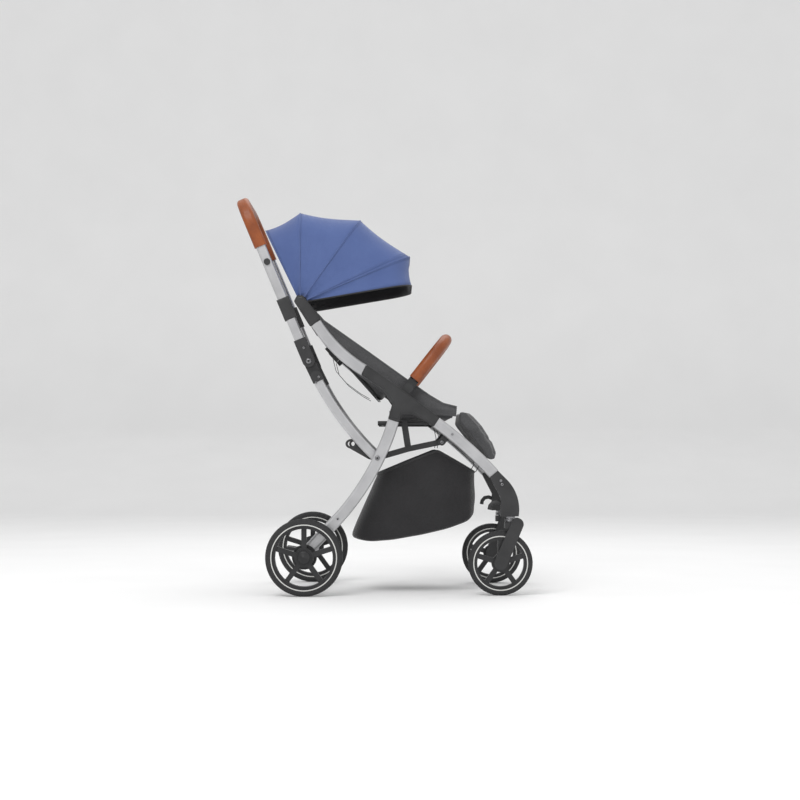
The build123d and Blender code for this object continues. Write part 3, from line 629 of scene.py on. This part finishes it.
# %% Blow up a cushion
def cushion(name, node, body, limit, channels, inward=0.003):
    source = frame["nodes"][node].data
    mesh = source.copy()
    made = bpy.data.objects.new(name, mesh)
    bpy.context.collection.objects.link(made)
    tidy_mesh(made)
    remesh = made.modifiers.new("skin", "REMESH")
    remesh.mode = "VOXEL"
    remesh.voxel_size = 0.0055
    freeze(made)
    for vertex in made.data.vertices:
        vertex.co -= vertex.normal * inward
    start = np.array([v.co for v in made.data.vertices])
    cloth = made.modifiers.new("cloth", "CLOTH")
    cloth.settings.use_pressure = True
    cloth.settings.uniform_pressure_force = 4
    cloth.settings.effector_weights.gravity = 0
    cloth.settings.quality = 5
    for step in range(1, 21):
        bpy.context.scene.frame_set(step)
    freeze(made)
    bpy.context.scene.frame_set(1)
    end = np.array([v.co for v in made.data.vertices])
    move = end - start
    reach = np.linalg.norm(move, axis=1, keepdims=True)
    end = start + move * np.minimum(1, limit / np.maximum(reach, 1e-9))
    for vertex, spot in zip(made.data.vertices, end):
        vertex.co = spot
    made.data.update()
    for vertex in made.data.vertices:
        depth = sum(channels(vertex.co, vertex.normal))
        vertex.co -= vertex.normal * depth
    smooth = made.modifiers.new("smooth", "SUBSURF")
    smooth.levels = smooth.render_levels = 1
    freeze(made)
    made.data.materials.clear()
    made.data.materials.append(finishes["seat_fabric"])
    finish_piece(made, body)
    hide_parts(node)
    print(name, len(made.data.vertices), "points")
    return made


def channel(distance, width=0.004, depth=0.0025):
    """Depth of a sewn channel at a distance from its line."""
    return depth * math.exp(-((distance / width) ** 2))


def seat_channels(spot, normal):
    yield channel(abs(spot.y) - 0.105) if normal.z > 0.5 else 0
    yield channel(spot.x - at(150, 0, 0).x) if normal.z > 0.5 else 0
    yield channel(spot.z - 0.470, 0.003, 0.002) if abs(normal.z) < 0.5 else 0


def back_channels(spot, normal):
    rise = (spot - at(0.7, 0, 491.2)).dot(Vector((-0.667, 0, 0.745)))
    front = normal.dot(Vector((0.745, 0, 0.667))) > 0.4
    yield channel(abs(spot.y) - 0.100) if front else 0
    yield channel(rise - 0.110) if front else 0
    yield channel(rise - 0.225) if front else 0


def leg_channels(spot, normal):
    yield channel(abs(spot.y) - 0.132, 0.003, 0.002) if normal.x > 0.2 else 0
    yield channel(abs(spot.y) - 0.143, 0.0025, 0.0015) if abs(normal.y) < 0.6 else 0
    yield channel(spot.z - 0.402) if normal.x > 0.2 else 0


seat_cushion = cushion("seat_cushion", "seat_pad", "main_frame", 0.007, seat_channels)
back_cushion = cushion("back_cushion", "backrest_pad", "backrest", 0.007, back_channels)
leg_cushion = cushion("leg_rest_cushion", "leg_rest_pad", "leg_rest", 0.008, leg_channels)

# %% [markdown]
# ## Seat sides
#
# A sling of the same cloth closes each side of the seat between the top edge and the frame. It is a stretched
# sheet: tight along its top edge, with a shallow belly below and a few soft pulls that run down from the
# bumper bracket. The top edge is bound with a cord.

# %% Side slings
WING_TOP = [(-172, 719), (-60, 640), (60.4, 554), (118, 514), (152, 494), (188, 485)]
WING_FOOT = [(-187, 690), (-130, 622), (-60, 560), (20, 503), (110, 465), (186, 461)]
for side, sign in SIDES.items():
    rows = []
    for i in range(17):
        down = i / 16
        row = []
        for j in range(73):
            run = j / 72
            a, b = along(WING_TOP, run), along(WING_FOOT, run)
            x, z = a[0] + (b[0] - a[0]) * down, a[1] + (b[1] - a[1]) * down
            belly = 5.0 * math.sin(math.pi * min(down * 1.1, 1)) * math.sin(math.pi * run) ** 0.5
            pull = 1.6 * noise.noise(Vector((run * 9 + down * 3, down * 1.5, sign * 3.0))) * math.sin(math.pi * down)
            row.append(at(x, sign * (158.0 + belly + pull), z))
        rows.append(row)
    sling = piece(f"seat_side_{side}", [p for r in rows for p in r], grid_faces(17, 73), finishes["seat_fabric"])
    area = sum(face.area for face in sling.data.polygons)
    wall = sling.modifiers.new("cloth", "SOLIDIFY")
    wall.thickness = 0.002
    wall.offset = 0
    freeze(sling)
    tidy_mesh(sling)
    finish_piece(sling, "main_frame")
    if side == "right":
        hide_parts("side_wings")
    binding = [rows[0][j] for j in range(73)]
    run_tree(
        cord_tree, f"seat_binding_{side}", binding, chain(binding), "main_frame", "seat_fabric",
        finishes["seat_fabric"], Radius=0.0028,
    )
    stitches = [rows[2][j] + Vector((0, sign * 0.0013, 0)) for j in range(73)]
    run_tree(
        stitch_tree, f"seat_side_stitches_{side}", stitches, chain(stitches), "main_frame", "webbing",
        finishes["webbing"], Spacing=0.0045, Length=0.003, Thickness=0.0008,
    )
print("seat sides made")

# %% [markdown]
# ## Basket
#
# The basket is a sewn bag that hangs from the frame. It is lofted as rings that go down from the rim to the
# bottom, so that it is one shell with soft corners, and its sides carry the slanting folds of slack cloth.

# %% Basket bag
RIM = [(-16, 314), (60, 347), (134, 377), (140, 377), (190, 347), (236, 318)]
KEEL = [(-90, 143), (-42, 134), (20, 139), (100, 153), (167, 169), (222, 189), (235, 205)]
RING_SIDE, RING_END = 44, 24
rows = []
for i in range(27):
    down = min(i / 18, 1.0)
    inner = max(0.0, (i - 18) / 8.2)
    ring = []
    for j in range(2 * (RING_SIDE + RING_END)):
        if j < RING_SIDE:
            run, across = j / RING_SIDE, -1.0
        elif j < RING_SIDE + RING_END:
            run, across = 1.0, -1 + 2 * (j - RING_SIDE) / RING_END
        elif j < 2 * RING_SIDE + RING_END:
            run, across = 1 - (j - RING_SIDE - RING_END) / RING_SIDE, 1.0
        else:
            run, across = 0.0, 1 - 2 * (j - 2 * RING_SIDE - RING_END) / RING_END
        run = 0.5 + (run - 0.5) * (1 - inner)
        across *= 1 - inner
        p, q = abs(2 * run - 1), abs(across)
        rounding = max(p, q) / max((p**7 + q**7) ** (1 / 7), 1e-6)
        run = 0.5 + (run - 0.5) * rounding
        (ax, az), (bx, bz) = along(RIM, run), along(KEEL, run)
        x, z = ax + (bx - ax) * down, az + (bz - az) * down
        belly = 3.0 * math.sin(math.pi * down) * (1 - inner)
        crease = noise.noise(Vector((x * 0.026 - z * 0.020, z * 0.007 + x * 0.004, 4.0 + across)))
        fold = 6.5 * crease * math.sin(math.pi * min(down, 0.97)) * (1 - inner)
        y = across * (153 * rounding + belly + fold)
        x += fold * (2 * run - 1) * (1 - q**4)
        z -= 7 * inner * (1 - q * q) * (1 - p * p)
        ring.append(at(x, y, z + 2 * inner))
    rows.append(ring)
count = len(rows[0])
faces = grid_faces(len(rows), count, closed=True)
basket = piece("basket_bag", [p for r in rows for p in r], faces, finishes["basket_fabric"])
tidy_mesh(basket)
soften = basket.modifiers.new("soft_corners", "SMOOTH")
soften.iterations = 4
soften.factor = 0.4
round_off = basket.modifiers.new("round_off", "SUBSURF")
round_off.levels = round_off.render_levels = 1
freeze(basket)
wall = basket.modifiers.new("cloth", "SOLIDIFY")
wall.thickness = 0.0018
wall.offset = 0
freeze(basket)
finish_piece(basket, "main_frame")
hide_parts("basket")
hem = [(p + rows[1][j]) / 2 for j, p in enumerate(rows[0])]
run_tree(
    cord_tree, "basket_hem", hem, chain(hem) + [(len(hem) - 1, 0)], "main_frame", "webbing",
    finishes["webbing"], Radius=0.0032,
)

# %% [markdown]
# ## Ribbons
#
# Straps are flat, so they are drawn directly as ribbons: a line of points, a width across the stroller and a
# small thickness. The basket hangs on four of them, and the reclining strap has a slack tail.

# %% Basket hangers and the reclining strap's tail
def ribbon(name, points, y, width, body):
    smooth_line = [along(points, i / 30) for i in range(31)]
    flat = [at(x, y + s * width / 2, z) for x, z in smooth_line for s in (-1, 1)]
    made = piece(name, flat, grid_faces(31, 2), finishes["webbing"])
    wall = made.modifiers.new("cloth", "SOLIDIFY")
    wall.thickness = 0.0014
    wall.offset = 0
    freeze(made)
    tidy_mesh(made)
    return finish_piece(made, body)


for side, sign in SIDES.items():
    ribbon(f"basket_strap_middle_{side}", [(137, 378), (141, 405), (134, 436)], sign * 150, 16, "main_frame")
    ribbon(f"basket_strap_front_{side}", [(237, 316), (246, 332), (236, 362)], sign * 146, 16, "main_frame")
    ribbon(f"recline_tail_{side}", [(-136, 612), (-128, 580), (-100, 548), (-62, 520), (-40, 508)], sign * 118, 9, "backrest")

# %% [markdown]
# ## Covers on the hubs
#
# The moulded hub has a raised face with a rounded edge, which is what catches the light. It follows the
# hub's own outline a little inside its edge.

# %% Raised hub faces
def raised_face(name, outline, inner, outer, sign, body):
    work = bmesh.new()
    ring = [work.verts.new(at(x, sign * inner, z)) for x, z in outline]
    face = work.faces.new(ring)
    grown = bmesh.ops.extrude_face_region(work, geom=[face])
    for item in grown["geom"]:
        if isinstance(item, bmesh.types.BMVert):
            item.co.y = sign * outer / 1000
    top = [f for f in work.faces if abs(abs(f.calc_center_median().y) - outer / 1000) < 1e-5]
    bmesh.ops.inset_region(work, faces=top, thickness=0.0028, depth=0.0)
    rim = [f for f in work.faces if abs(abs(f.calc_center_median().y) - outer / 1000) < 1e-5 and len(f.verts) > 4]
    for f in rim:
        for vertex in f.verts:
            vertex.co.y += sign * 0.0012
    bmesh.ops.recalc_face_normals(work, faces=work.faces)
    mesh = bpy.data.meshes.new(name)
    work.to_mesh(mesh)
    work.free()
    made = bpy.data.objects.new(name, mesh)
    bpy.context.collection.objects.link(made)
    mesh.materials.append(finishes["moulded_plastic"])
    bevel = made.modifiers.new("edge", "BEVEL")
    bevel.width = 0.0012
    bevel.segments = 2
    freeze(made)
    for f in made.data.polygons:
        f.use_smooth = False
    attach(made, body)
    return made


HUB_FACE = [
    (-47.0, 590.0), (15.0, 546.5), (117.5, 471.0), (137.5, 455.5), (125.5, 437.5), (107.0, 451.0),
    (71.0, 469.5), (40.0, 468.5), (36.0, 452.0), (14.0, 458.0), (24.0, 494.5), (0.0, 531.0), (-56.0, 568.5),
]
KNUCKLE_FACE = [(-229.5, 757.0), (-223.5, 768.0), (-212.5, 768.0), (-166.5, 711.0), (-190.0, 694.5)]
for side, sign in SIDES.items():
    raised_face(f"hub_face_{side}", HUB_FACE, 215.9, 217.0, sign, "main_frame")
    raised_face(f"seat_top_face_{side}", KNUCKLE_FACE, 213.9, 215.0, sign, "main_frame")

# %% [markdown]
# ## Stitches on the leatherette and caps on the wheels
#
# The grip and the bumper cover are closed with a seam along the inside of the bow. Each rear wheel has a
# pressed cap over its axle, turned as a lathe would: a short profile spun about the axle.

# %% Lathe work
def turned(name, axle, profile, body, material, steps=40):
    """Spin a profile of (distance from the axle, distance from the middle plane) about an axle."""
    rows = [
        [
            at(
                axle[0] + radius * math.cos(2 * math.pi * i / steps), y,
                axle[1] + radius * math.sin(2 * math.pi * i / steps),
            )
            for i in range(steps)
        ]
        for radius, y in profile
    ]
    made = piece(name, [p for r in rows for p in r], grid_faces(len(rows), steps, closed=True), material)
    tidy_mesh(made)
    return finish_piece(made, body)


CAP_PROFILE = [(0.001, 253.8), (4.0, 253.6), (5.0, 252.6), (14.0, 252.8), (17.0, 251.2), (17.0, 248.2)]
for side, sign in SIDES.items():
    turned(
        f"rear_wheel_cap_{side}", (-205.5, 99.0), [(r, sign * y) for r, y in CAP_PROFILE],
        f"rear_wheel_{side}", finishes["rim_plastic"],
    )
print("wheel caps turned")

# %% Handle and bumper seams
lean = math.radians(22.75)


def handle_point(across, up, forward=0.0):
    return at(
        -196.6 - up * math.sin(lean) + forward * math.cos(lean), across, 603.8 + up * math.cos(lean) + forward * math.sin(lean)
    )


def bow_line(half, start, end, corner, place, off):
    """A U-shaped line a little inside its bow, from one end over the top to the other."""
    half, end = half - off, end - off
    turn_in = corner - off
    line = [place(-half, start + (end - turn_in - start) * t / 20) for t in range(21)]
    line += [
        place(-half + turn_in - turn_in * math.cos(a), end - turn_in + turn_in * math.sin(a))
        for a in [math.pi / 2 * t / 12 for t in range(1, 13)]
    ]
    line += [place(-half + turn_in + (2 * half - 2 * turn_in) * t / 30, end) for t in range(1, 31)]
    return line + [Vector((p.x, -p.y, p.z)) for p in reversed(line[: 33])]


seam = bow_line(185, 328, 454, 70, handle_point, 16.2)
run_tree(
    stitch_tree, "grip_stitches", seam, chain(seam), "handle", "leatherette", tan_thread,
    Spacing=0.005, Length=0.0036, Thickness=0.0011,
)
tilt = math.radians(52)


def bumper_point(across, up):
    return at(59 + up * math.cos(tilt), across, 533 + up * math.sin(tilt))


seam = bow_line(178, 34, 166, 90, bumper_point, 15.6)
run_tree(
    stitch_tree, "bumper_stitches", seam, chain(seam), "bumper", "leatherette", tan_thread,
    Spacing=0.005, Length=0.0036, Thickness=0.0011,
)

# %% [markdown]
# ## Suspension coils and the swivel lock
#
# A short spring sits round the stem of each front wheel between the housing and the fork, and a small hooked
# lever behind the housing locks the swivel.

# %% Coils and lock levers
for side, sign in SIDES.items():
    coil = [
        at(323 + 12.5 * math.cos(t * 0.35), sign * 205 + 12.5 * math.sin(t * 0.35), 189.5 + 8.0 * t / 54)
        for t in range(55)
    ]
    spring = run_tree(
        cord_tree, f"suspension_coil_{side}", coil, chain(coil), f"swivel_{side}", "steel", finishes["steel"],
        Radius=0.0014,
    )
    at(323, sign * 205, 199)
    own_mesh(spring)
    lever = [at(x, sign * 205, z) for x, z in ((300, 236), (290, 240), (279, 238), (272, 230), (270, 220))]
    run_tree(
        cord_tree, f"swivel_lock_{side}", lever, chain(lever), "main_frame", "moulded_plastic",
        finishes["moulded_plastic"], Radius=0.0055,
    )

# %% [markdown]
# ## Studio
#
# A pale floor that rises into a backdrop, one large soft light above, one in front to open the shadows and
# a weak one behind to draw the edges. The camera stands level with the seat, far away, so that the side view
# has little perspective.

# %% Floor, lights and camera
floor = piece(
    "studio_floor",
    [(x, y, z) for y, z in ((-9, 0), (5, 0), (6.5, 0.5), (7, 2), (7, 9)) for x in (-9, 9)],
    grid_faces(5, 2),
    None,
)
paper = Finish("studio_paper", roughness=0.9, specular=0.1)
paper.set("Base Color", paper.ramp(paper.speckle(3, 2), [(0.3, (0.90, 0.90, 0.90)), (0.7, (0.92, 0.92, 0.92))]))
floor.data.materials.append(paper.material)


def soft_light(name, place, aim, size, power):
    lamp = bpy.data.lights.new(name, "AREA")
    lamp.size = size
    lamp.energy = power
    made = bpy.data.objects.new(name, lamp)
    bpy.context.collection.objects.link(made)
    made.location = place
    made.rotation_euler = (Vector(aim) - Vector(place)).to_track_quat("-Z", "Y").to_euler()


soft_light("key", (-1.2, -2.6, 3.4), (0, 0, 0.5), 2.0, 62)
soft_light("fill", (2.6, -3.4, 1.6), (0, 0, 0.5), 3.0, 16)
soft_light("top", (0.2, 1.4, 3.2), (0, 0, 0.4), 2.4, 30)
world = bpy.data.worlds.new("studio_air")
world.use_nodes = True
world.node_tree.nodes["Background"].inputs["Color"].default_value = (1, 1, 1, 1)
world.node_tree.nodes["Background"].inputs["Strength"].default_value = 0.72
bpy.context.scene.world = world
bpy.context.scene.view_settings.view_transform = "Standard"

lens = bpy.data.cameras.new("camera")
lens.lens = 77.4
lens.sensor_width = 36
camera = bpy.data.objects.new("camera", lens)
bpy.context.collection.objects.link(camera)
camera.location = (0.0295 + SHIFT / 1000, -4.638, 0.389)
camera.rotation_euler = (math.radians(91.466), 0, math.radians(-0.133))
bpy.context.scene.camera = camera
